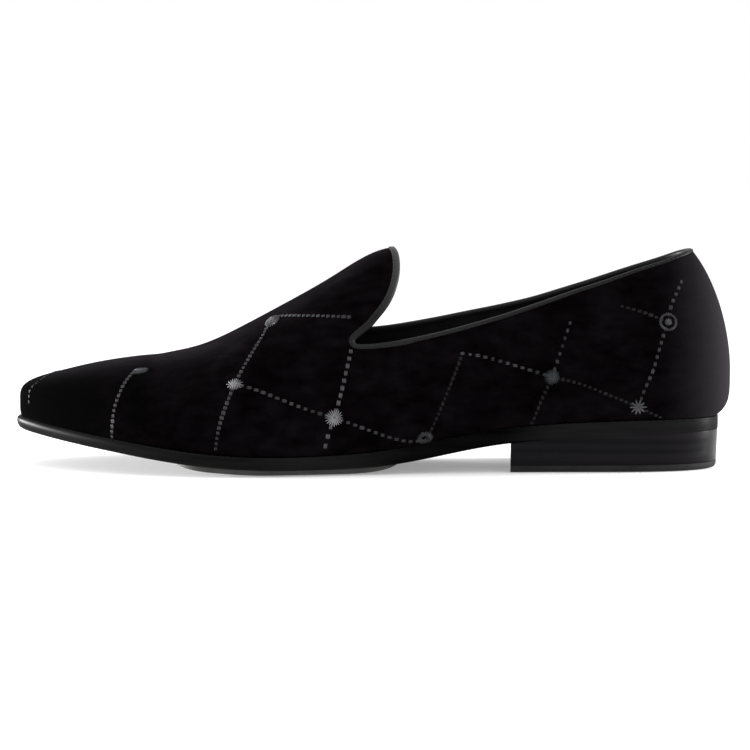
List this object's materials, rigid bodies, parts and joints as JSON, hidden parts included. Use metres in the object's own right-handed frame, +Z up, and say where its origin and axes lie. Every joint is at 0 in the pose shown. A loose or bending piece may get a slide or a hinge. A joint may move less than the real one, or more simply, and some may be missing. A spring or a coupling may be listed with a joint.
{
  "type": "velvet slipper loafer",
  "caption": "Left velvet slipper loafer with a rounded tongue, bound collar, almond toe, thin sole with forefoot tread and a low block heel.",
  "frame": {"origin": "on the floor, under the centre of the shoe's box", "axes": "+X to the toe, +Y to the wearer's left, which is the outer side, +Z up"},
  "size_m": [0.301, 0.1022, 0.0918],
  "materials": {
    "velvet": "black velvet with a short pile",
    "binding": "dark satin-smooth leather",
    "sock_lining": "smooth black lining leather",
    "sole": "black waxed and burnished edge",
    "tread_rubber": "matt charcoal rubber",
    "heel_stack": "black burnished heel"
  },
  "bodies": {
    "root": {"upper": "velvet", "collar_binding": "binding", "insole": "sock_lining", "outsole": "sole", "forefoot_tread": "tread_rubber", "heel_block": "heel_stack", "top_lift": "tread_rubber"}
  },
  "joints": []
}
